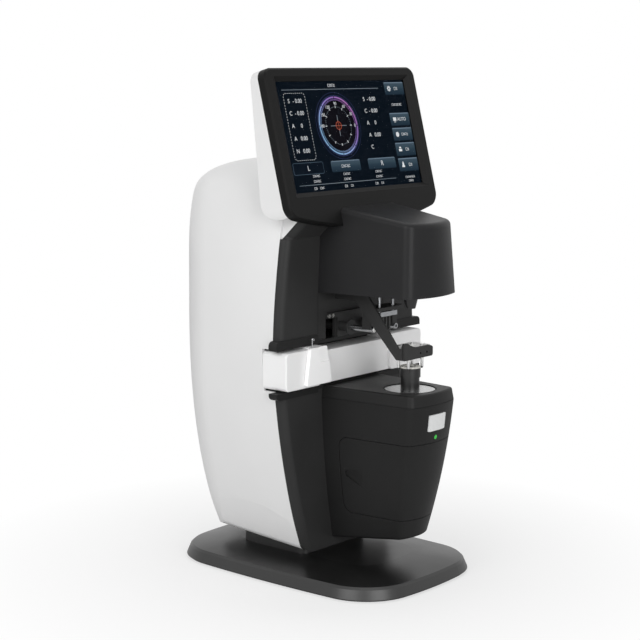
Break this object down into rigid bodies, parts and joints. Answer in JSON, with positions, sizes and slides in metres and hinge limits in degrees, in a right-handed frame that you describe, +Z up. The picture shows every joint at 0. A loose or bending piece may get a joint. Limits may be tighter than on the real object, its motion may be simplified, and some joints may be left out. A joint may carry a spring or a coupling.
{
  "type": "auto lensmeter",
  "caption": "Bench auto lensmeter: barrel column on a low base, tilted touch display, light hood over a nosepiece, sliding lens table, lens holder with sprung pins and marker.",
  "frame": {"origin": "centre of the base's outline, on the surface under the rubber feet", "axes": "-Y is the front, towards the user, +X is the user's right, +Z is up"},
  "size_m": [0.2064, 0.2566, 0.4541],
  "materials": {
    "base_black": "satin",
    "ballast_iron": "matte",
    "foot_rubber": "matte",
    "bezel_black": "satin",
    "screen_glass": "polished",
    "screen_panel": "gloss",
    "shell_white": "satin",
    "fascia_black": "satin",
    "hood_black": "satin",
    "deck_black": "satin",
    "disc_grey": "gloss",
    "nose_black": "satin",
    "ring_pale": "satin",
    "button_grey": "satin",
    "lamp_green": "gloss",
    "table_pale": "satin",
    "rod_steel": "ground",
    "bush_bronze": "turned",
    "bush_white": "satin",
    "arm_black": "powder coat",
    "plate_white": "satin",
    "pin_steel": "polished",
    "chassis_aluminium": "anodised",
    "chassis_steel": "zinc plated",
    "lens_glass": "polished",
    "board_green": "satin",
    "screw_steel": "nickel plated"
  },
  "bodies": {
    "stand": {"base_plate": "base_black", "ballast_plate": "ballast_iron", "rubber_feet": "foot_rubber", "pedestal": "base_black", "display_bezel": "bezel_black", "touch_glass": "screen_glass", "lcd_panel": "screen_panel", "display_housing": "shell_white", "slot_frame": "fascia_black", "guide_bushes": "bush_bronze", "rear_cover": "shell_white", "upper_fascia": "fascia_black", "lower_fascia": "fascia_black", "hood": "hood_black", "measuring_box": "fascia_black", "deck_cap": "deck_black", "deck_disc": "disc_grey", "nosepiece": "nose_black", "nose_ring": "ring_pale", "status_lamp": "lamp_green", "holder_rail": "rod_steel", "rail_bracket": "chassis_aluminium", "marker_bracket": "arm_black", "optic_arm": "chassis_aluminium", "light_nozzle": "nose_black", "condenser_lens": "lens_glass", "lamp_board": "board_green", "lamp_heatsink": "chassis_aluminium", "tube_arm": "chassis_aluminium", "measuring_tube": "nose_black", "objective_lens": "lens_glass", "sensor_board": "board_green", "chassis_spine": "chassis_steel", "main_board": "board_green", "power_supply": "chassis_steel", "rear_panel": "fascia_black", "power_inlet": "nose_black", "data_port": "chassis_steel", "small_screws": "screw_steel"},
    "lens_table": {"lens_table": "table_pale", "guide_rods": "rod_steel"},
    "pd_slider": {"pd_slider": "table_pale", "slider_hook": "rod_steel"},
    "lens_holder": {"holder_arm": "arm_black", "holder_bar": "arm_black", "pin_plate": "plate_white", "pin_bushes": "bush_white", "holder_carriage": "chassis_aluminium"},
    "lens_pin_1": {"lens_pin_1": "pin_steel"},
    "lens_pin_2": {"lens_pin_2": "pin_steel"},
    "lens_pin_3": {"lens_pin_3": "pin_steel"},
    "lens_pin_4": {"lens_pin_4": "pin_steel"},
    "marker_carriage": {"marker_carriage": "arm_black", "marker_rods": "rod_steel", "rod_cap": "bush_white"},
    "marker_head": {"marker_head": "chassis_aluminium", "marker_pens": "nose_black"},
    "memory_button": {"memory_button": "button_grey"},
    "access_cover": {"access_cover": "fascia_black"},
    "power_rocker": {"power_rocker": "nose_black"}
  },
  "joints": [
    {"name": "table_slide", "type": "slide", "parent": "stand", "child": "lens_table", "axis": [0, -1, 0], "range_m": [0, 0.025]},
    {"name": "pd_slide", "type": "slide", "parent": "lens_table", "child": "pd_slider", "axis": [1, 0, 0], "range_m": [0, 0.112]},
    {"name": "holder_lift", "type": "slide", "parent": "stand", "child": "lens_holder", "axis": [0, 0, 1], "range_m": [0, 0.022]},
    {"name": "pin_1_press", "type": "slide", "parent": "lens_holder", "child": "lens_pin_1", "axis": [0, 0, 1], "range_m": [0, 0.003], "stiffness_N_per_m": 40},
    {"name": "pin_2_press", "type": "slide", "parent": "lens_holder", "child": "lens_pin_2", "axis": [0, 0, 1], "range_m": [0, 0.003], "stiffness_N_per_m": 40},
    {"name": "pin_3_press", "type": "slide", "parent": "lens_holder", "child": "lens_pin_3", "axis": [0, 0, 1], "range_m": [0, 0.003], "stiffness_N_per_m": 40},
    {"name": "pin_4_press", "type": "slide", "parent": "lens_holder", "child": "lens_pin_4", "axis": [0, 0, 1], "range_m": [0, 0.003], "stiffness_N_per_m": 40},
    {"name": "marker_advance", "type": "slide", "parent": "stand", "child": "marker_carriage", "axis": [0, 1, 0], "range_m": [-0.0274, 0], "stiffness_N_per_m": 80},
    {"name": "marker_dip", "type": "slide", "parent": "marker_carriage", "child": "marker_head", "axis": [0, 0, 1], "range_m": [-0.022, 0], "stiffness_N_per_m": 30, "springref_m": 0.006},
    {"name": "memory_press", "type": "slide", "parent": "stand", "child": "memory_button", "axis": [0, 1, 0], "range_m": [0, 0.0012], "stiffness_N_per_m": 800},
    {"name": "cover_pull", "type": "slide", "parent": "stand", "child": "access_cover", "axis": [0, -1, 0], "range_m": [0, 0.08]},
    {"name": "power_switch", "type": "hinge", "parent": "stand", "child": "power_rocker", "pos_m": [-0.0135, 0.095, 0.068], "axis": [1, 0, 0], "range_deg": [0, 16]}
  ]
}
